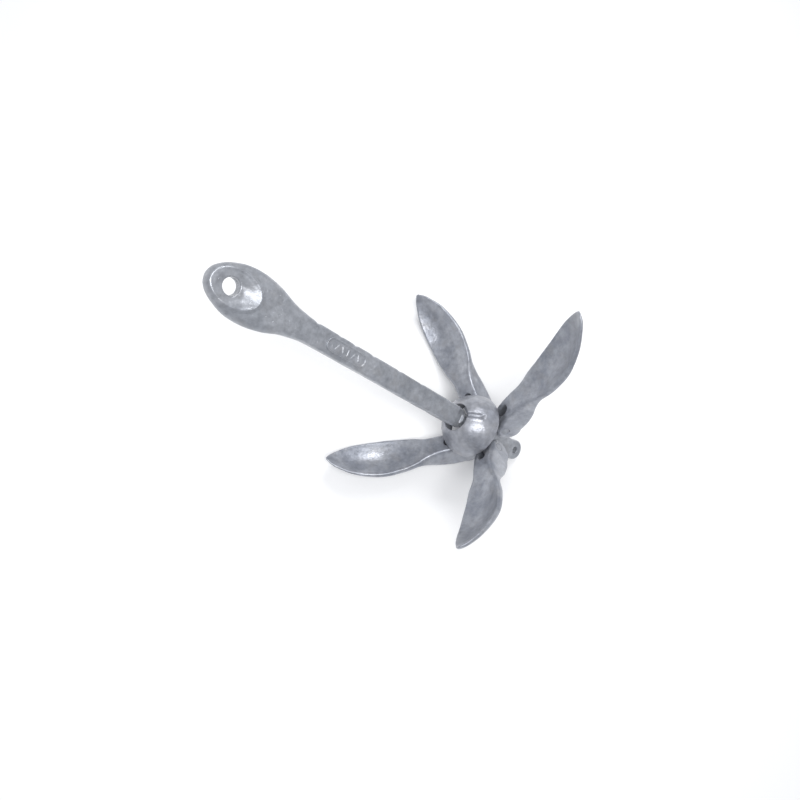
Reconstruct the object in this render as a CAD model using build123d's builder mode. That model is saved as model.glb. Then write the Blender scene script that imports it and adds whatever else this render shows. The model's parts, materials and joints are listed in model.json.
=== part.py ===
"""Folding grapnel anchor: one-piece shank and crown, sliding lock collar, four hinged flukes on pins.

Each piece is drawn about the anchor's own axis: the origin is at the crown, level with the fluke pivots,
+Z runs up the shank to the eye, and +X is the normal of the shank's wide face.  At the end the whole
anchor is laid down as it rests on a flat floor, on the trip eye and the two lower fluke tips.
"""
from build123d import *
import os
from math import cos, radians, sin

# Flukes and their pivots, in millimetres and degrees.
TIP_RADIUS = 145          # fluke tip to shank axis
TIP_HEIGHT = 85           # fluke tip above the pivots
PIVOT_RADIUS = 22         # pivot pin to shank axis
PIN_RADIUS = 4.0
PIN_CLEARANCE = 0.06      # radial, in the fluke's cheeks
PIN_SHORTFALL = 0.2       # each pin end lies this far under the cheek's face
FORK_HALF_WIDTH = 11.0    # outside of a cheek
FORK_SLOT = 8.6           # between the cheeks
FORK_SLOT_END = 40        # from the shank axis
RIM_SEAT_GAP = 0.4        # between the collar and the fluke arms

# Crown and trip eye.
LUG_THICKNESS = 8.0
LUG_END_RADIUS = 9.0
CORE_RADIUS = 11.5        # crown between the lugs
CORE_HALF_HEIGHT = 13
TRIP_EYE_HEIGHT = -49
TRIP_EYE_RADIUS = 10
TRIP_STEM_WIDTH = 16
TRIP_EYE_THICKNESS = 8
TRIP_HOLE_RADIUS = 3.6

# Shank and eye.
NECK_RADIUS = 7
SHANK_WIDTH = 19
SHANK_THICKNESS = 14
SHANK_CORNER = 3
SHANK_START = 44          # the neck ends and the bevelled foot of the shank begins
FOOT_LENGTH = 8
FOOT_THICKNESS = 10        # where the bevel begins
FOOT_WIDTH = 17
EYE_START = 236           # the shank begins to swell to the eye
# Sections up the eye: height, width, thickness, corner radius.
EYE_SECTIONS = (
    (256, 27, 15.5, 5),
    (272, 38, 17, 7),
    (288, 41.5, 17, 8),
    (303, 36, 17, 8),
    (314, 24, 15, 7),
    (321, 9, 9, 4),
)
EYE_HOLE_HEIGHT = 303
EYE_HOLE_RADIUS = 6.5
DISH_HEIGHT = 299       # centre of the oval hollow round the hole
DISH_LENGTH = 34
DISH_WIDTH = 25
DISH_DEPTH = 3
EYE_FACE = 8.5            # half the eye's thickness
PLATE_HEIGHT = 198        # centre of the raised oval on the wide face
PLATE_LENGTH = 40
PLATE_WIDTH = 12
PLATE_THICKNESS = 0.9

# Lock collar.
COLLAR_RADIUS = 32
COLLAR_WALL = 5
COLLAR_RIM_HEIGHT = 21.5
COLLAR_MOUTH_RADIUS = 13.5
KEYWAY_WIDTH = 4.5
KEYWAY_DEPTH = 2.5
KEYWAY_ANGLE = 23         # from the wide face's normal, about the shank
KEYWAY_REACH = 24

# The crown is a rough casting, so its lugs are a few degrees off square, and each opened fluke
# has settled at its own angle, given here in degrees folded up from the drawn profile.
FLUKES = (
    {"azimuth": 46.8, "tilt": -5.0},
    {"azimuth": 131.7, "tilt": -0.6},
    {"azimuth": 226.7, "tilt": 12.4},
    {"azimuth": 314.5, "tilt": 1.8},
)

# How the anchor lies on the floor.
LEAN = 53.77              # shank from upright, towards -X
ROLL = -8.98               # about the shank's own axis

REACH = 300               # longer than anything that is cut through


def radial_plane(azimuth):
    """The upright plane through the shank axis: local x runs out from the axis, local y up it."""
    angle = radians(azimuth)
    return Plane(origin=(0, 0, 0), x_dir=(cos(angle), sin(angle), 0), z_dir=(sin(angle), -cos(angle), 0))


def fluke_place(azimuth, tilt):
    """Turn a fluke drawn along +X about its pivot by tilt, then swing it round to its azimuth."""
    turn = Location((PIVOT_RADIUS, 0, 0), (0, -tilt, 0)) * Location((-PIVOT_RADIUS, 0, 0))
    return Location((0, 0, 0), (0, 0, azimuth)) * turn


with BuildPart() as fluke:
    # Side view: the upswept blade, the arm and the deep rounded heel round the pivot.
    with BuildSketch(Plane.XZ) as fluke_side:
        tip = (TIP_RADIUS, TIP_HEIGHT)
        with BuildLine():
            inner = Spline((19.5, 9.4), (33, 18.8), (48, 25), (66, 30.5), (86, 37), (107, 48), (127, 64.5), tip)
            outer = Spline(tip, (129, 60.5), (109, 41.5), (88, 28.5), (69, 18.5))
            heel = Spline(outer @ 1, (61, 10), (54, 1.5), (43, -7), (31, -13), (20, -14.5))
            ThreePointArc(heel @ 1, (12.2, -2), inner @ 0)
        make_face()
    extrude(amount=TIP_RADIUS, both=True)
    # Plan: a parallel fork that opens into a leaf-shaped blade.
    with BuildSketch(Plane.XY) as fluke_plan:
        with BuildLine():
            fork_side = Line((5, FORK_HALF_WIDTH), (44, FORK_HALF_WIDTH))
            blade_edge = Spline(
                fork_side @ 1, (54, 12), (66, 15.3), (86, 19.8), (107, 21.4), (127, 17.2), (142.5, 6.2),
                (TIP_RADIUS + 0.5, 0), tangents=((1, 0), (0, -1)),
            )
            Polyline(blade_edge @ 1, (5, 0), fork_side @ 0)
        make_face()
        mirror(about=Plane.XZ)
    extrude(amount=REACH, both=True, mode=Mode.INTERSECT)
    with BuildSketch(Plane.XY) as fork_slot:
        with Locations((0, 0)):
            SlotOverall(2 * FORK_SLOT_END, FORK_SLOT)
    extrude(amount=REACH, both=True, mode=Mode.SUBTRACT)
    with BuildSketch(Plane.XZ) as cheek_bore:
        with Locations((PIVOT_RADIUS, 0)):
            Circle(PIN_RADIUS + PIN_CLEARANCE)
    extrude(amount=REACH, both=True, mode=Mode.SUBTRACT)

# The space that the collar fills when it is down: every fluke arm is cut clear of it.
with BuildPart() as rim_seat:
    with BuildSketch(Plane.XZ) as seat_section:
        with Locations((COLLAR_RADIUS - COLLAR_WALL / 2, COLLAR_RIM_HEIGHT - RIM_SEAT_GAP + REACH / 2)):
            Rectangle(COLLAR_WALL + 2 * RIM_SEAT_GAP, REACH)
    revolve(axis=Axis.Z)

pieces = {}
for number, seat in enumerate(FLUKES, start=1):
    with BuildPart() as seated_fluke:
        add(fluke_place(**seat) * fluke.part)
        add(rim_seat.part, mode=Mode.SUBTRACT)
    pieces[f"fluke_{number}"] = seated_fluke.part

    with BuildPart() as pivot_pin:
        with BuildSketch(radial_plane(seat["azimuth"])) as pin_section:
            with Locations((PIVOT_RADIUS, 0)):
                Circle(PIN_RADIUS)
        extrude(amount=FORK_HALF_WIDTH - PIN_SHORTFALL, both=True)
    pieces[f"pivot_pin_{number}"] = pivot_pin.part

# One casting: crown, neck, shank, eye and trip eye.
with BuildPart() as shank:
    Cylinder(CORE_RADIUS, 2 * CORE_HALF_HEIGHT)
    for seat in FLUKES:
        with BuildSketch(radial_plane(seat["azimuth"])) as lug_side:
            with Locations((PIVOT_RADIUS, 0)):
                Circle(LUG_END_RADIUS)
            with Locations((PIVOT_RADIUS / 2, 0)):
                Rectangle(PIVOT_RADIUS, 2 * LUG_END_RADIUS)
        extrude(amount=LUG_THICKNESS / 2, both=True)
    with BuildSketch(Plane.XY) as neck_section:
        Circle(NECK_RADIUS)
    extrude(amount=SHANK_START)
    # The neck widens through a bevelled foot to the flat shank.
    with BuildSketch(Plane.XY.offset(SHANK_START)) as foot_start:
        RectangleRounded(FOOT_THICKNESS, FOOT_WIDTH, SHANK_CORNER)
    with BuildSketch(Plane.XY.offset(SHANK_START + FOOT_LENGTH)) as foot_end:
        RectangleRounded(SHANK_THICKNESS, SHANK_WIDTH, SHANK_CORNER)
    loft()
    # Straight shank, then the eye as a smooth swelling.
    with BuildSketch(Plane.XY.offset(SHANK_START + FOOT_LENGTH)) as shank_section:
        RectangleRounded(SHANK_THICKNESS, SHANK_WIDTH, SHANK_CORNER)
    extrude(amount=EYE_START - SHANK_START - FOOT_LENGTH)
    with BuildSketch(Plane.XY.offset(EYE_START)) as eye_base:
        RectangleRounded(SHANK_THICKNESS, SHANK_WIDTH, SHANK_CORNER)
    for height, width, thickness, corner in EYE_SECTIONS:
        with BuildSketch(Plane.XY.offset(height)) as eye_section:
            RectangleRounded(thickness, width, corner)
    loft()
    # Oval hollow round the eye hole on both faces, and the raised oval on the front face.
    for side in (1, -1):
        with BuildSketch(Plane.YZ.offset(side * (EYE_FACE - DISH_DEPTH))) as dish:
            with Locations((0, DISH_HEIGHT)):
                Ellipse(DISH_WIDTH / 2, DISH_LENGTH / 2)
        extrude(amount=side * EYE_FACE, mode=Mode.SUBTRACT)
    with BuildSketch(Plane.YZ) as eye_hole:
        with Locations((0, EYE_HOLE_HEIGHT)):
            Circle(EYE_HOLE_RADIUS)
    extrude(amount=REACH, both=True, mode=Mode.SUBTRACT)
    with BuildSketch(Plane.YZ.offset(SHANK_THICKNESS / 2)) as oval_plate:
        with Locations((0, PLATE_HEIGHT)):
            SlotOverall(PLATE_LENGTH, PLATE_WIDTH, rotation=90)
    extrude(amount=PLATE_THICKNESS)
    # Trip eye below the crown, its hole along the wide face's normal.
    with BuildSketch(Plane.YZ) as trip_lug:
        with Locations((0, TRIP_EYE_HEIGHT)):
            Circle(TRIP_EYE_RADIUS)
        with Locations((0, TRIP_EYE_HEIGHT / 2)):
            Rectangle(TRIP_STEM_WIDTH, -TRIP_EYE_HEIGHT)
    extrude(amount=TRIP_EYE_THICKNESS / 2, both=True)
    with BuildSketch(Plane.YZ) as trip_hole:
        with Locations((0, TRIP_EYE_HEIGHT)):
            Circle(TRIP_HOLE_RADIUS)
    extrude(amount=REACH, both=True, mode=Mode.SUBTRACT)
    for seat in FLUKES:
        with BuildSketch(radial_plane(seat["azimuth"])) as pin_seat:
            with Locations((PIVOT_RADIUS, 0)):
                Circle(PIN_RADIUS)
        extrude(amount=LUG_THICKNESS, both=True, mode=Mode.SUBTRACT)
pieces["shank"] = shank.part

# The lock collar: a hemispherical cup with a mouth for the shank and a radial keyway in its top.
with BuildPart() as keyway:
    with Locations(Location((0, 0, 0), (0, 0, KEYWAY_ANGLE))):
        Box(KEYWAY_REACH, KEYWAY_WIDTH, REACH, align=(Align.MIN, Align.CENTER, Align.MIN))
    with Locations((0, 0, COLLAR_RIM_HEIGHT)):
        Sphere(COLLAR_RADIUS - KEYWAY_DEPTH, mode=Mode.SUBTRACT)

with BuildPart() as collar:
    with BuildSketch(Plane.XZ) as collar_section:
        with Locations((0, COLLAR_RIM_HEIGHT)):
            Circle(COLLAR_RADIUS)
            Circle(COLLAR_RADIUS - COLLAR_WALL, mode=Mode.SUBTRACT)
        with Locations((COLLAR_MOUTH_RADIUS, COLLAR_RIM_HEIGHT)):
            Rectangle(REACH, REACH, align=(Align.MIN, Align.MIN), mode=Mode.INTERSECT)
    revolve(axis=Axis.Z)
    add(keyway.part, mode=Mode.SUBTRACT)
pieces["collar"] = collar.part

# Lay the anchor down, with the floor at z = 0 and the origin under the middle of its box.
tipped = Location((0, 0, 0), (0, -LEAN, 0)) * Location((0, 0, 0), (0, 0, ROLL))
box = Compound([tipped * piece for piece in pieces.values()]).bounding_box()
lying = Location((-box.center().X, -box.center().Y, -box.min.Z)) * tipped
print("origin of the anchor's axis frame:", lying.position)

os.makedirs("parts", exist_ok=True)
for name, piece in pieces.items():
    laid = lying * piece
    laid.label = name
    export_step(laid, f"parts/{name}.step")
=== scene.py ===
"""Folding grapnel anchor in hot-dip galvanised cast iron, lying opened out on a pale studio floor.

Lengths are in millimetres in the anchor's own frame until a finished mesh is moved to the row frame: its
origin is on the shank axis level with the fluke pivots, z runs up the shank to the rope eye, and x is the
normal of the shank's wide face.  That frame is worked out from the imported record's mounts and joints.
"""
import json
import math

import bmesh
import bpy
import numpy as np
from mathutils import Matrix, Vector, noise


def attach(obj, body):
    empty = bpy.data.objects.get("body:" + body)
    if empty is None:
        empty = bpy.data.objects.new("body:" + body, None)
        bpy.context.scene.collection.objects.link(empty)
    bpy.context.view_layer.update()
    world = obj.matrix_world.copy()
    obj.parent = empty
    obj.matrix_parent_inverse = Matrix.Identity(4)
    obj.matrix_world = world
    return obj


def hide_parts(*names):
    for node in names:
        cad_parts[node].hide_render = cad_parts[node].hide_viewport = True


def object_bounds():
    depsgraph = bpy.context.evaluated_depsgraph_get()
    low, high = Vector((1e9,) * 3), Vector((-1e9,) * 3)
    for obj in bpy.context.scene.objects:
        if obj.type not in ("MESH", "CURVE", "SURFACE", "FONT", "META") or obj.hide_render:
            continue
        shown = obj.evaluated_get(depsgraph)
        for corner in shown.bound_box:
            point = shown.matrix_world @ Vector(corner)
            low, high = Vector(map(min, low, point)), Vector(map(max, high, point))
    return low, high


MM = 0.001

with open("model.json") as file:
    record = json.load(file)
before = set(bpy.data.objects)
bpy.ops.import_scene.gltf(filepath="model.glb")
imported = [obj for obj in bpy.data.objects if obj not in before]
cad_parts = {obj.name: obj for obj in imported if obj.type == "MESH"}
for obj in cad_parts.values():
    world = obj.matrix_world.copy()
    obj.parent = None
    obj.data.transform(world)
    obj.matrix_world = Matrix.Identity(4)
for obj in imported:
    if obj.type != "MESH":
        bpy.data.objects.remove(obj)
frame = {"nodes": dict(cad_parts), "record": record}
cad_low, cad_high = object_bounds()

# ---------------------------------------------------------------------------------------------
# Sizes shared with the CAD model
# ---------------------------------------------------------------------------------------------
PIVOT_RADIUS = 22
PIN_RADIUS = 4.0
FORK_HALF_WIDTH = 11.0
FORK_SLOT_HALF = 4.3
FORK_SLOT_END = 40
LUG_HALF = 4.0
LUG_RADIUS = 9.0
CORE_RADIUS = 11.5
CORE_HALF_HEIGHT = 13
NECK_RADIUS = 7
EYE_HOLE_HEIGHT = 303
EYE_HOLE_RADIUS = 6.5
TRIP_EYE_HEIGHT = -49
TRIP_EYE_RADIUS = 10
TRIP_HOLE_RADIUS = 3.6
TRIP_HALF_THICKNESS = 4
TRIP_STEM_HALF_WIDTH = 9
TRIP_RING_SPARE = 0.5     # extra radius, of which the smoothing takes some back
TRIP_FACE_SPARE = 0.2     # the same for each face
TRIP_ROUNDING = 1.1
COLLAR_RADIUS = 32
COLLAR_WALL = 5
COLLAR_RIM_HEIGHT = 21.5
MOUTH_RADIUS = 13.5
KEYWAY_ANGLE = 23
KEYWAY_HALF_WIDTH = 2.4
KEYWAY_DEPTH = 2.5
KEYWAY_REACH = 27
FOLDED_ANGLE = 55.05      # a fluke with no tilt folds this far, so a joint's range gives its tilt

SLOT_TRIMS = (-1.2, 1.2, 1.6, -1.2)      # how much longer or shorter each fork's slot was cast

# Fluke stations from pivot to tip: inner edge (radius, height), outer edge (radius, height),
# half width, depth of the spoon's hollow, swell of its back, corner power (low is boxy), and flare of
# the outer side over the inner side.
FLUKE_STATIONS = (
    (22, 11.5, 22, -14.6, 10.9, 0.0, 0.0, 0.28, 0.00),
    (33, 18.8, 32, -12.6, 11.2, 0.0, 0.0, 0.28, 0.03),
    (47, 24.8, 44, -6.4, 11.9, 0.6, 0.0, 0.30, 0.08),
    (58, 28.0, 55.5, 3.2, 12.9, 1.3, 0.0, 0.36, 0.09),
    (65.5, 30.4, 64, 13.6, 14.6, 2.2, 0.3, 0.46, 0.05),
    (72, 32.2, 73.5, 22.4, 16.7, 3.0, 1.2, 0.54, 0.00),
    (86, 37.0, 89, 29.3, 19.8, 4.4, 2.6, 0.58, 0.00),
    (107, 48.0, 110, 42.0, 21.3, 5.0, 3.2, 0.60, 0.00),
    (127, 64.5, 129.5, 60.3, 17.2, 3.6, 2.4, 0.60, 0.00),
    (140, 78.3, 142.5, 75.6, 8.6, 1.2, 0.8, 0.60, 0.00),
    (144.6, 83.9, 145.8, 82.6, 3.0, 0.0, 0.0, 0.60, 0.00),
    (146.0, 85.6, 146.4, 85.0, 1.0, 0.0, 0.0, 0.60, 0.00),
)
BOSS = {"radius": 12.9, "at": 25.2, "height": -2.3}

# Shank stations: height, half width, half thickness, corner power.
SHANK_STATIONS = (
    (36, 6.4, 3.8, 0.60), (42, 7.0, 3.8, 0.50), (44.5, 8.9, 3.9, 0.30), (47.5, 9.5, 4.1, 0.22),
    (56.2, 9.8, 6.95, 0.20), (57.4, 9.8, 7.0, 0.22), (80, 9.8, 7.0, 0.26), (120, 9.6, 7.0, 0.26),
    (170, 9.5, 6.9, 0.26), (215, 9.4, 6.9, 0.28), (232, 9.7, 7.0, 0.38), (244, 11.1, 7.3, 0.52),
    (256, 13.8, 7.8, 0.62), (267, 17.6, 8.2, 0.66), (278, 20.1, 8.5, 0.68), (288, 20.7, 8.5, 0.68),
    (298, 19.6, 8.5, 0.68), (307, 16.4, 8.3, 0.68), (314, 12.2, 7.6, 0.70), (318.5, 7.6, 6.0, 0.75),
    (320.6, 3.4, 3.4, 0.90),
)

PLATE_HEIGHT = 198        # centre of the raised oval
PLATE_BASE = 6.6          # how far its base plane is from the shank axis
PLATE_BARS = ((-12, 25), (-6.5, -25), (-1, 0), (4.5, 25), (10.5, -25))      # place along the oval, lean
EYE_HOLLOW = {"height": 300.2, "half_width": 12.8, "half_length": 18.6, "depth": 3.7, "rim": 0.9}
EDGE_NICKS = (            # height, depth
    (231, 0.8), (208, 0.5), (192, 0.9), (172, 0.8), (140, 0.5), (112, 0.4),
)
SMALL_LUMPS = ((1.5, 172), (-2.0, 169.5), (0.5, 167), (2.6, 166), (-3.4, 164.5))      # y, height
LUMP_HEIGHT = 0.55

# The camera, in the anchor's frame.
CAMERA = {
    "target": (-60.3, -5.1, 73.6), "distance": 573.1, "azimuth": -6.58, "elevation": 38.86, "roll": 61.2,
    "sensor": 36, "lens": 24.94,
}

# Softboxes: name, place in metres along the camera's axes from the anchor's middle, width,
# height (both in metres) and power in watts.
SOFTBOXES = (
    ("key", (0.12, -0.02, 1.15), 0.9, 0.42, 10),
    ("top", (0.35, 0.95, 0.75), 0.5, 0.3, 6),
)


def anchor_matrix():
    """The anchor's own frame in the row frame, from the record: rope eye and collar slide."""
    record = frame["record"]
    mounts = {mount["name"]: mount for mount in record["mounts"]}
    slide = next(joint for joint in record["behaviour"]["joints"] if joint["name"] == "collar_slide")
    up = Vector(slide["axis"]).normalized()
    face = Vector(mounts["rope_eye"]["axis"]).normalized()
    across = up.cross(face)
    origin = Vector(mounts["rope_eye"]["pos_m"]) - up * (EYE_HOLE_HEIGHT * MM)
    matrix = Matrix((face, across, up)).transposed().to_4x4()
    matrix.translation = origin
    return matrix


ANCHOR = anchor_matrix()


def fluke_seats():
    """Each fluke's azimuth and tilt in degrees, from its hinge in the record."""
    seats = []
    for joint in frame["record"]["behaviour"]["joints"]:
        if joint["type"] != "hinge":
            continue
        pivot = ANCHOR.inverted() @ Vector(joint["pos_m"])
        azimuth = math.degrees(math.atan2(pivot.y, pivot.x))
        seats.append({"azimuth": azimuth, "tilt": FOLDED_ANGLE - joint["range_deg"][1]})
    for seat, trim in zip(seats, SLOT_TRIMS):
        seat["slot_trim"] = trim
    return seats


SEATS = fluke_seats()


def turned(azimuth):
    """Swings a piece drawn along +x about the shank to its azimuth."""
    return Matrix.Rotation(math.radians(azimuth), 4, "Z")


def fluke_place(seat):
    """Tilts a fluke about its pivot and swings it to its azimuth."""
    out = Matrix.Translation((PIVOT_RADIUS, 0, 0))
    tilt = Matrix.Rotation(math.radians(-seat["tilt"]), 4, "Y")
    return turned(seat["azimuth"]) @ out @ tilt @ out.inverted()


# ---------------------------------------------------------------------------------------------
# Mesh tools
# ---------------------------------------------------------------------------------------------
def make_object(name, points, faces):
    mesh = bpy.data.meshes.new(name)
    mesh.from_pydata([tuple(point) for point in points], [], faces)
    mesh.update()
    obj = bpy.data.objects.new(name, mesh)
    bpy.context.collection.objects.link(obj)
    return obj


def skin(name, rings):
    """A closed mesh over a list of rings, each a closed loop of the same number of points."""
    rings = np.asarray(rings, float)
    count, around = rings.shape[:2]
    faces = []
    for i in range(count - 1):
        for j in range(around):
            k = (j + 1) % around
            faces.append((i * around + j, i * around + k, (i + 1) * around + k, (i + 1) * around + j))
    faces.append(tuple(reversed(range(around))))
    faces.append(tuple(range((count - 1) * around, count * around)))
    obj = make_object(name, rings.reshape(-1, 3), faces)
    face_outward(obj)
    return obj


def face_outward(obj):
    """Turns every face's normal outward."""
    work = bmesh.new()
    work.from_mesh(obj.data)
    bmesh.ops.recalc_face_normals(work, faces=work.faces)
    work.to_mesh(obj.data)
    work.free()


def lathe(name, profile, segments=96):
    """A ring-shaped solid: a closed (radius, height) profile turned about z."""
    points, faces = [], []
    around = len(profile)
    for i in range(segments):
        angle = 2 * math.pi * i / segments
        points += [(r * math.cos(angle), r * math.sin(angle), z) for r, z in profile]
        for j in range(around):
            k = (j + 1) % around
            n = (i + 1) % segments
            faces.append((i * around + j, n * around + j, n * around + k, i * around + k))
    obj = make_object(name, points, faces)
    face_outward(obj)
    return obj


def prism(name, outline, low, high):
    """An (x, z) outline made solid between two y values."""
    rings = [[(x, y, z) for x, z in outline] for y in (low, high)]
    return skin(name, rings)


def rectangle(x0, x1, z0, z1):
    return [(x0, z0), (x1, z0), (x1, z1), (x0, z1)]


def circle(x, z, radius, steps=64):
    angles = [2 * math.pi * i / steps for i in range(steps)]
    return [(x + radius * math.cos(a), z + radius * math.sin(a)) for a in angles]


def stadium(x0, x1, z, radius, steps=24):
    """The outline of a straight slot with round ends, between two centres on one level."""
    angles = [math.radians(-90 + 180 * i / steps) for i in range(steps + 1)]
    outline = [(x1 + radius * math.cos(a), z + radius * math.sin(a)) for a in angles]
    outline += [(x0 - radius * math.cos(a), z - radius * math.sin(a)) for a in angles]
    return outline


def move(obj, matrix):
    obj.data.transform(matrix)
    obj.data.update()
    return obj


def join(name, objects):
    """One object from several; their volumes may overlap until the next remesh."""
    work = bmesh.new()
    for obj in objects:
        work.from_mesh(obj.data)
        bpy.data.objects.remove(obj)
    mesh = bpy.data.meshes.new(name)
    work.to_mesh(mesh)
    work.free()
    obj = bpy.data.objects.new(name, mesh)
    bpy.context.collection.objects.link(obj)
    return obj


def copy_of(obj, name):
    """A second object with a mesh of its own."""
    twin = bpy.data.objects.new(name, obj.data.copy())
    bpy.context.collection.objects.link(twin)
    return twin


def settle(obj):
    """Applies the object's modifiers to its mesh."""
    graph = bpy.context.evaluated_depsgraph_get()
    mesh = bpy.data.meshes.new_from_object(obj.evaluated_get(graph))
    obj.modifiers.clear()
    obj.data = mesh
    return obj


def remesh(obj, voxel):
    modifier = obj.modifiers.new("voxels", "REMESH")
    modifier.mode = "VOXEL"
    modifier.voxel_size = voxel
    return settle(obj)


def carve(obj, *cutters):
    """Cuts the cutters out of the object and deletes them."""
    for cutter in cutters:
        modifier = obj.modifiers.new("cut", "BOOLEAN")
        modifier.operation = "DIFFERENCE"
        modifier.solver = "EXACT"
        modifier.object = cutter
        settle(obj)
        bpy.data.objects.remove(cutter)
    return obj


def soften(obj, repeats, factor=0.5):
    modifier = obj.modifiers.new("soften", "SMOOTH")
    modifier.factor = factor
    modifier.iterations = repeats
    return settle(obj)


def coordinates(obj):
    values = np.empty(len(obj.data.vertices) * 3)
    obj.data.vertices.foreach_get("co", values)
    return values.reshape(-1, 3)


def normals(obj):
    values = np.empty(len(obj.data.vertices) * 3)
    obj.data.vertices.foreach_get("normal", values)
    return values.reshape(-1, 3)


def set_coordinates(obj, values):
    obj.data.vertices.foreach_set("co", np.ascontiguousarray(values).ravel())
    obj.data.update()


def cast_skin(obj, seed, swell=0.22, ripple=0.07):
    """The slightly wavy surface of a sand casting: broad swells and small ripples, along the normals."""
    points, outward = coordinates(obj), normals(obj)
    shift = Vector((seed * 17.0, seed * 5.0, seed * 11.0))
    push = [
        swell * noise.noise(Vector(p) / 13 + shift) + ripple * noise.noise(Vector(p) / 3.5 + shift)
        for p in points
    ]
    set_coordinates(obj, points + outward * np.array(push)[:, None])


def power(values, exponent):
    return np.sign(values) * np.abs(values) ** exponent


def through_points(stations, steps):
    """A smooth table through the stations (Catmull-Rom), with the given steps between each two."""
    table = np.array(stations, float)
    before = np.vstack([2 * table[0] - table[1], table, 2 * table[-1] - table[-2]])
    rows = []
    for i in range(len(table) - 1):
        a, b, c, d = before[i:i + 4]
        for t in np.arange(steps) / steps:
            rows.append(0.5 * (2 * b + (c - a) * t + (2 * a - 5 * b + 4 * c - d) * t ** 2
                               + (3 * b - a - 3 * c + d) * t ** 3))
    rows.append(table[-1])
    return np.array(rows)


def smoothstep(values, low, high):
    t = np.clip((values - low) / (high - low), 0, 1)
    return t * t * (3 - 2 * t)


# ---------------------------------------------------------------------------------------------
# Flukes
# ---------------------------------------------------------------------------------------------
def spoon(around=88):
    """The arm and blade: a tube whose section grows from a boxy arm to a hollowed leaf."""
    angles = 2 * np.pi * np.arange(around) / around
    rings = []
    for row in through_points(FLUKE_STATIONS, 9):
        inner, outer = row[0:2], row[2:4]
        half_width, hollow, swell, corner, flare = np.maximum(row[4:], (0.5, 0, 0, 0.2, 0))
        middle, half = (inner + outer) / 2, (inner - outer) / 2
        toward_eye = half / np.linalg.norm(half)
        share = power(np.cos(angles), corner)
        level = power(np.sin(angles), corner)
        y = half_width * share * (1 - flare * level)
        share = np.abs(share)
        dip = 1.2 * hollow * np.clip(1 - (share / 0.9) ** 2, 0, 1) ** 1.2 * (level > 0)
        dip -= 0.16 * hollow * np.exp(-((share - 0.9) / 0.06) ** 2) * (level > 0)
        bulge = swell * (1 - share ** 2) * (level < 0)
        side = middle + level[:, None] * half - (dip + bulge)[:, None] * toward_eye
        rings.append(np.column_stack([side[:, 0], y, side[:, 1]]))
    return skin("spoon", rings)


def rounded_disc(name, x, z, radius, half_width, rounding):
    """A disc about a y axis whose rims are rounded."""
    rings = []
    for turn in np.linspace(-90, 90, 13):
        drop = rounding * (1 - math.cos(math.radians(turn)))
        y = (half_width - rounding) * np.sign(turn) + rounding * math.sin(math.radians(turn))
        rings.append([(px, y, pz) for px, pz in circle(x, z, radius - drop)])
    return skin(name, rings)


def rough_fluke():
    """A whole fluke in its own plane, before it is tilted and seated under the collar."""
    boss = rounded_disc("boss", BOSS["at"], BOSS["height"], BOSS["radius"], FORK_HALF_WIDTH, 2.0)
    fluke = remesh(join("fluke", [spoon(), boss]), 0.8)
    soften(fluke, 2)
    bore = prism("bore", circle(PIVOT_RADIUS, 0, PIN_RADIUS + 0.15), -40, 40)
    return carve(fluke, bore)


def fork_slot(end):
    """The slot that lets a fluke straddle its lug, open toward the shank."""
    slot = prism("slot", stadium(-20, end - FORK_SLOT_HALF, 0, FORK_SLOT_HALF), -80, 80)
    return move(slot, Matrix.Rotation(math.radians(90), 4, "X"))


def rim_seat():
    """The ring-shaped space of the collar's wall, which every fluke arm is cut clear of."""
    low, high = COLLAR_RIM_HEIGHT - 0.6, COLLAR_RIM_HEIGHT + 60
    inner, outer = COLLAR_RADIUS - COLLAR_WALL - 0.6, COLLAR_RADIUS + 0.7
    return lathe("seat", [(inner, low), (outer, low), (outer, high), (inner, high)])


def build_flukes():
    pattern = rough_fluke()
    flukes = []
    for number, seat in enumerate(SEATS, start=1):
        fluke = copy_of(pattern, f"spoon_fluke_{number}")
        carve(fluke, fork_slot(FORK_SLOT_END + seat["slot_trim"]))
        move(fluke, fluke_place(seat))
        carve(fluke, rim_seat())
        remesh(fluke, 0.62)
        soften(fluke, 2)
        cast_skin(fluke, seed=number)
        flukes.append(fluke)
    bpy.data.objects.remove(pattern)
    return flukes


# ---------------------------------------------------------------------------------------------
# Shank, crown and eyes
# ---------------------------------------------------------------------------------------------
def shank_bar(around=72):
    """The flat shank and its eye as one tube along z."""
    angles = 2 * np.pi * np.arange(around) / around
    rings = []
    for height, half_width, half_thickness, corner in through_points(SHANK_STATIONS, 8):
        x = half_thickness * power(np.sin(angles), corner)
        y = half_width * power(np.cos(angles), corner)
        rings.append(np.column_stack([x, y, np.full(around, height)]))
    return skin("bar", rings)


def round_bar(name, radius, low, high, taper=0.0):
    rings = []
    for height, r in ((low, radius + taper), (high, radius)):
        rings.append([(x, y, height) for x, y in circle(0, 0, r)])
    return skin(name, rings)


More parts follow.
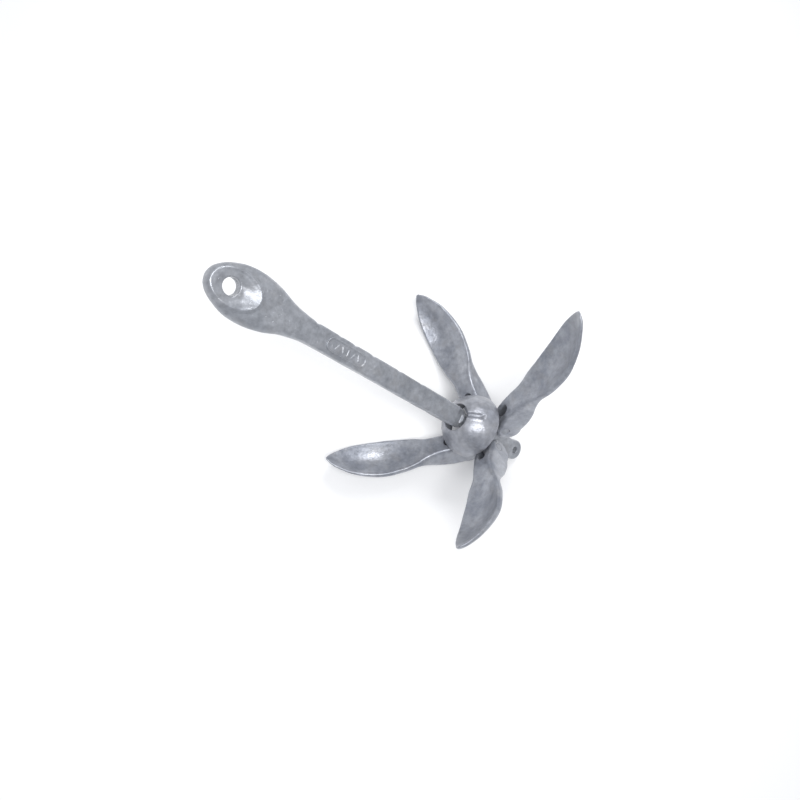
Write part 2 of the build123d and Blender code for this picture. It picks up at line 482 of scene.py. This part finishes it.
def build_shank():
    parts = [shank_bar(), round_bar("neck", NECK_RADIUS, 5, 47, taper=2.0)]
    parts.append(round_bar("core", CORE_RADIUS, -CORE_HALF_HEIGHT, CORE_HALF_HEIGHT))
    for seat in SEATS:
        lug = rounded_disc("lug", PIVOT_RADIUS, 0, LUG_RADIUS, LUG_HALF, 0.8)
        web = prism("web", rectangle(0, PIVOT_RADIUS, -LUG_RADIUS, LUG_RADIUS), -LUG_HALF, LUG_HALF)
        parts += [move(lug, turned(seat["azimuth"])), move(web, turned(seat["azimuth"]))]
    quarter = Matrix.Rotation(math.radians(90), 4, "Z")
    ring = rounded_disc("trip_ring", 0, TRIP_EYE_HEIGHT, TRIP_EYE_RADIUS + TRIP_RING_SPARE,
                        TRIP_HALF_THICKNESS + TRIP_FACE_SPARE, TRIP_ROUNDING)
    stem_outline = rectangle(-TRIP_STEM_HALF_WIDTH, TRIP_STEM_HALF_WIDTH, TRIP_EYE_HEIGHT, 0)
    stem = prism("trip_stem", stem_outline, -TRIP_HALF_THICKNESS, TRIP_HALF_THICKNESS)
    parts += [move(ring, quarter), move(stem, quarter)]
    shank = remesh(join("cast_shank", parts), 0.75)
    hole = move(prism("hole", circle(0, EYE_HOLE_HEIGHT, EYE_HOLE_RADIUS), -30, 30), quarter)
    trip_hole = move(prism("trip_hole", circle(0, TRIP_EYE_HEIGHT, TRIP_HOLE_RADIUS), -30, 30), quarter)
    carve(shank, hole, trip_hole)
    remesh(shank, 0.6)
    soften(shank, 4)
    hollow_eye(shank)
    add_lumps(shank)
    cast_skin(shank, seed=7)
    return shank


def hollow_eye(shank):
    """Presses the oval hollow with its raised rim into both faces of the rope eye."""
    points = coordinates(shank)
    x, y, z = points.T
    reach = np.hypot(y / EYE_HOLLOW["half_width"], (z - EYE_HOLLOW["height"]) / EYE_HOLLOW["half_length"])
    deep = EYE_HOLLOW["depth"] * (1 - smoothstep(reach, 0.3, 1.0)) * smoothstep(np.abs(x), 0.5, 4.5)
    rim = EYE_HOLLOW["rim"] * np.exp(-((reach - 1.03) / 0.09) ** 2) * smoothstep(np.abs(x), 1.5, 5)
    points[:, 0] += np.sign(x) * (rim - deep)
    set_coordinates(shank, points)


def add_lumps(shank):
    """Casting nicks along one edge of the shank, and a patch of small lumps below the raised oval."""
    points = coordinates(shank)
    for height, depth in EDGE_NICKS:
        near = np.exp(-((points[:, 2] - height) / 2.2) ** 2) * smoothstep(points[:, 1], 6, 9)
        points[:, 1] -= depth * near
    for y, z in SMALL_LUMPS:
        near = np.exp(-(((points[:, 1] - y) / 1.1) ** 2 + ((points[:, 2] - z) / 1.5) ** 2))
        points[:, 0] += LUMP_HEIGHT * near * (points[:, 0] > 3)
    set_coordinates(shank, points)


# ---------------------------------------------------------------------------------------------
# Collar
# ---------------------------------------------------------------------------------------------
def build_collar():
    """The domed cup: an outer and an inner arc joined by a rounded rim and a thick rounded mouth."""
    def arc(radius, start, stop, steps):
        angles = np.radians(np.linspace(start, stop, steps))
        return [(radius * math.cos(a), COLLAR_RIM_HEIGHT + radius * math.sin(a)) for a in angles]
    inside = COLLAR_RADIUS - COLLAR_WALL
    mouth = math.degrees(math.acos(MOUTH_RADIUS / COLLAR_RADIUS))
    inner_mouth = math.degrees(math.acos((MOUTH_RADIUS + 0.4) / inside))
    profile = [(COLLAR_RADIUS - 0.8, COLLAR_RIM_HEIGHT)] + arc(COLLAR_RADIUS, 2, mouth - 3, 40)
    profile += [(MOUTH_RADIUS + 0.7, profile[-1][1] + 0.4), (MOUTH_RADIUS, profile[-1][1] - 0.9)]
    profile += arc(inside, inner_mouth, 2, 36) + [(inside + 0.8, COLLAR_RIM_HEIGHT)]
    collar = lathe("lock_collar", profile, segments=144)
    remesh(collar, 0.5)
    soften(collar, 2)
    press_keyway(collar)
    cast_skin(collar, seed=12, swell=0.2)
    return collar


def press_keyway(collar):
    """Sinks the radial keyway into the dome, with a low cast ridge along one side."""
    points = coordinates(collar)
    centre = np.array((0, 0, COLLAR_RIM_HEIGHT))
    out = points - centre
    reach = np.linalg.norm(out, axis=1)
    angle = math.radians(KEYWAY_ANGLE)
    along = points[:, 0] * math.cos(angle) + points[:, 1] * math.sin(angle)
    across = points[:, 1] * math.cos(angle) - points[:, 0] * math.sin(angle)
    window = smoothstep(along, 9, 12) * (1 - smoothstep(along, KEYWAY_REACH - 3, KEYWAY_REACH + 1))
    window *= smoothstep(reach, COLLAR_RADIUS - COLLAR_WALL + 0.5, COLLAR_RADIUS - 1.0)
    groove = KEYWAY_DEPTH * np.exp(-(np.abs(across) / KEYWAY_HALF_WIDTH) ** 3)
    ridge = 0.6 * np.exp(-((across + KEYWAY_HALF_WIDTH + 1.5) / 1.4) ** 2)
    push = window * (ridge - groove)
    set_coordinates(collar, points + out / reach[:, None] * push[:, None])


# ---------------------------------------------------------------------------------------------
# Raised oval on the wide face
# ---------------------------------------------------------------------------------------------
def build_plate():
    """A generic raised oval with a rim and a few plain bars, in place of the maker's weight mark."""
    def pad(name, half_length, radius, top):
        """A flat-bottomed stadium whose top edge is slightly drawn in."""
        outline = stadium(-half_length + radius, half_length - radius, 0, radius)
        rings = []
        for height, shrink in ((-1.5, 0), (top - 0.35, 0), (top, 0.4)):
            grow = 1 - shrink / radius
            rings.append([(u, v * grow, height) for u, v in outline])
        return skin(name, rings)
    base = pad("base", 20.5, 6.0, 1.3)
    hollow = move(pad("hollow", 19.3, 4.8, 3.0), Matrix.Translation((0, 0, 2.1)))
    carve(base, hollow)
    bars = []
    for place, lean in PLATE_BARS:
        bar = prism("bar", stadium(-2.2, 2.2, 0, 1.0, steps=10), -0.2, 1.6)
        bars.append(bar)
        turn = Matrix.Translation((place, 0, 0)) @ Matrix.Rotation(math.radians(90 + lean), 4, "Z")
        move(bar, turn)
    plate = join("raised_oval", [base] + bars)
    remesh(plate, 0.3)
    soften(plate, 2)
    upright = Matrix(((0, 0, 1, PLATE_BASE), (0, -1, 0, 0), (1, 0, 0, PLATE_HEIGHT), (0, 0, 0, 1)))
    return move(plate, upright)


# ---------------------------------------------------------------------------------------------
# Materials
# ---------------------------------------------------------------------------------------------
class Nodes:
    """A short way to write a node tree."""

    def __init__(self, name):
        self.material = bpy.data.materials.new(name)
        self.material.use_nodes = True
        self.tree = self.material.node_tree
        self.shader = self.tree.nodes["Principled BSDF"]
        self.place = self.tree.nodes.new("ShaderNodeTexCoord").outputs["Object"]

    def add(self, kind, **settings):
        node = self.tree.nodes.new(kind)
        for key, value in settings.items():
            if hasattr(node, key) and not key[0].isupper():
                setattr(node, key, value)
            else:
                node.inputs[key].default_value = value
        return node

    def link(self, source, target):
        self.tree.links.new(source, target)

    def noise(self, size_mm, detail=4.0, roughness=0.55, distortion=0.0, offset=0.0):
        """Noise whose blotches are about size_mm across."""
        mapping = self.add("ShaderNodeMapping")
        mapping.inputs["Location"].default_value = (offset, offset * 0.7, -offset)
        self.link(self.place, mapping.inputs["Vector"])
        node = self.add("ShaderNodeTexNoise", Scale=1 / (size_mm * MM), Detail=detail,
                        Roughness=roughness, Distortion=distortion)
        self.link(mapping.outputs[0], node.inputs["Vector"])
        return node.outputs["Fac"]

    def ramp(self, source, stops):
        """Maps a value through (position, value or colour) stops."""
        node = self.add("ShaderNodeValToRGB")
        elements = node.color_ramp.elements
        while len(elements) < len(stops):
            elements.new(0.5)
        for element, (position, value) in zip(elements, stops):
            element.position = position
            element.color = (*value, 1) if isinstance(value, tuple) else (value, value, value, 1)
        self.link(source, node.inputs[0])
        return node.outputs["Color"]

    def blend(self, kind, first, second, factor):
        node = self.add("ShaderNodeMix", data_type="RGBA", blend_type=kind)
        for value, socket in ((factor, 0), (first, 6), (second, 7)):
            if isinstance(value, (float, int)):
                node.inputs[socket].default_value = value
            elif isinstance(value, tuple):
                node.inputs[socket].default_value = (*value, 1)
            else:
                self.link(value, node.inputs[socket])
        return node.outputs[2]

    def bump(self, height, strength, distance_mm, below=None):
        node = self.add("ShaderNodeBump", Strength=strength, Distance=distance_mm * MM)
        self.link(height, node.inputs["Height"])
        if below is not None:
            self.link(below, node.inputs["Normal"])
        return node.outputs["Normal"]


def galvanised(name, dark, light, offset):
    """Weathered hot-dip zinc: cloudy blue-grey patches, faint spangle, brownish dust, pits and dross."""
    n = Nodes(name)
    clouds = n.noise(22, detail=5, distortion=0.6, offset=offset)
    colour = n.ramp(clouds, [(0.36, dark), (0.66, light)])
    mottle = n.noise(4.5, detail=6, roughness=0.65, offset=offset + 3)
    colour = n.blend("OVERLAY", colour, n.ramp(mottle, [(0.3, 0.34), (0.7, 0.66)]), 0.6)
    dust = n.ramp(n.noise(13, detail=4, offset=offset + 7), [(0.52, 0.0), (0.75, 0.35)])
    colour = n.blend("MIX", colour, (0.33, 0.32, 0.315), dust)
    specks = n.ramp(n.noise(1.6, detail=3, offset=offset + 9), [(0.64, 0.0), (0.72, 0.5)])
    colour = n.blend("MIX", colour, (0.22, 0.225, 0.235), specks)
    n.link(colour, n.shader.inputs["Base Color"])
    shine = n.blend("MULTIPLY", n.ramp(clouds, [(0.3, 0.42), (0.7, 0.31)]),
                    n.ramp(mottle, [(0.3, 0.85), (0.7, 1.15)]), 1.0)
    n.link(shine, n.shader.inputs["Roughness"])
    n.shader.inputs["Metallic"].default_value = 0.55
    n.shader.inputs["Specular IOR Level"].default_value = 0.5
    skin_bump = n.bump(n.noise(5.5, detail=5, offset=offset + 1), 0.35, 0.9)
    skin_bump = n.bump(n.noise(1.5, detail=4, offset=offset + 5), 0.28, 0.35, below=skin_bump)
    pits = n.ramp(n.noise(2.4, detail=2, offset=offset + 11), [(0.26, 0.0), (0.36, 1.0)])
    skin_bump = n.bump(pits, 0.5, 0.3, below=skin_bump)
    n.link(skin_bump, n.shader.inputs["Normal"])
    return n.material


def paint(obj, material):
    obj.data.materials.clear()
    obj.data.materials.append(material)
    obj.data.polygons.foreach_set("use_smooth", [True] * len(obj.data.polygons))
    obj.data.update()


# ---------------------------------------------------------------------------------------------
# The anchor
# ---------------------------------------------------------------------------------------------
def finish_piece(obj, body, slot, material, *nodes):
    move(obj, ANCHOR @ Matrix.Scale(MM, 4))
    paint(obj, material)
    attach(obj, body)
    if nodes:
        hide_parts(*nodes)


shank_zinc = galvanised("zinc_shank", (0.31, 0.326, 0.358), (0.42, 0.434, 0.465), 0.11)
collar_zinc = galvanised("zinc_collar", (0.275, 0.288, 0.325), (0.405, 0.415, 0.45), 0.31)
fluke_zinc = galvanised("zinc_fluke", (0.265, 0.281, 0.322), (0.39, 0.404, 0.44), 0.53)

finish_piece(build_shank(), "anchor", "galvanised_shank", shank_zinc, "shank")
finish_piece(build_plate(), "anchor", "galvanised_shank", shank_zinc)
finish_piece(build_collar(), "collar", "galvanised_collar", collar_zinc, "collar")
for index, blade in enumerate(build_flukes(), start=1):
    finish_piece(blade, f"fluke_{index}", "galvanised_fluke", fluke_zinc, f"fluke_{index}")

pin_finish = galvanised("zinc_pin", (0.275, 0.288, 0.32), (0.39, 0.404, 0.436), 0.71)
for index in range(1, len(SEATS) + 1):
    for slot in frame["nodes"][f"pivot_pin_{index}"].material_slots:
        slot.material = pin_finish


# ---------------------------------------------------------------------------------------------
# Studio
# ---------------------------------------------------------------------------------------------
def build_floor():
    floor = make_object("floor", [(-4, -4, 0), (4, -4, 0), (4, 4, 0), (-4, 4, 0)], [(0, 1, 2, 3)])
    material = bpy.data.materials.new("pale_floor")
    material.use_nodes = True
    shader = material.node_tree.nodes["Principled BSDF"]
    shader.inputs["Base Color"].default_value = (0.93, 0.93, 0.93, 1)
    shader.inputs["Roughness"].default_value = 0.9
    floor.data.materials.append(material)


def add_softbox(name, place, width, height, energy):
    data = bpy.data.lights.new(name, "AREA")
    data.shape = "RECTANGLE"
    data.size = width
    data.size_y = height
    data.energy = energy
    lamp = bpy.data.objects.new(name, data)
    lamp.matrix_world = place
    bpy.context.collection.objects.link(lamp)


def aimed(position, target, turn):
    """A place whose -z looks at the target and whose x stays level with the camera's."""
    back = (position - target).normalized()
    across = (turn @ Vector((1, 0, 0)) - back * back.dot(turn @ Vector((1, 0, 0)))).normalized()
    rotation = Matrix((across, back.cross(across), back)).transposed().to_4x4()
    return Matrix.Translation(position) @ rotation


def camera_frame():
    """A camera 39 degrees above the wide face's normal, rolled so that the rope eye is at the top left."""
    azimuth, elevation, roll = (math.radians(CAMERA[key]) for key in ("azimuth", "elevation", "roll"))
    flat = math.cos(elevation)
    back = Vector((flat * math.cos(azimuth), flat * math.sin(azimuth), math.sin(elevation)))
    up = (Vector((0, 0, 1)) - back * back.z).normalized()
    right = up.cross(back)
    rolled_up = up * math.cos(roll) + right * math.sin(roll)
    rolled_right = rolled_up.cross(back)
    rotation = Matrix((rolled_right, rolled_up, back)).transposed().to_4x4()
    place = Vector(CAMERA["target"]) + back * CAMERA["distance"]
    return ANCHOR @ Matrix.Translation(place * MM) @ rotation


def build_camera(place):
    data = bpy.data.cameras.new("camera")
    data.sensor_width = CAMERA["sensor"]
    data.lens = CAMERA["lens"]
    camera = bpy.data.objects.new("camera", data)
    camera.matrix_world = place
    bpy.context.collection.objects.link(camera)
    bpy.context.scene.camera = camera


build_floor()
view = camera_frame()
middle = (cad_low + cad_high) / 2
turn = view.to_3x3()
for name, offset, width, height, energy in SOFTBOXES:
    place = aimed(middle + turn @ Vector(offset), middle, turn)
    add_softbox(name, place, width, height, energy)
world = bpy.data.worlds.new("studio")
world.use_nodes = True
world.node_tree.nodes["Background"].inputs["Color"].default_value = (0.93, 0.95, 1.0, 1)
world.node_tree.nodes["Background"].inputs["Strength"].default_value = 0.5
bpy.context.scene.world = world
bpy.context.scene.view_settings.view_transform = "Standard"
build_camera(view)
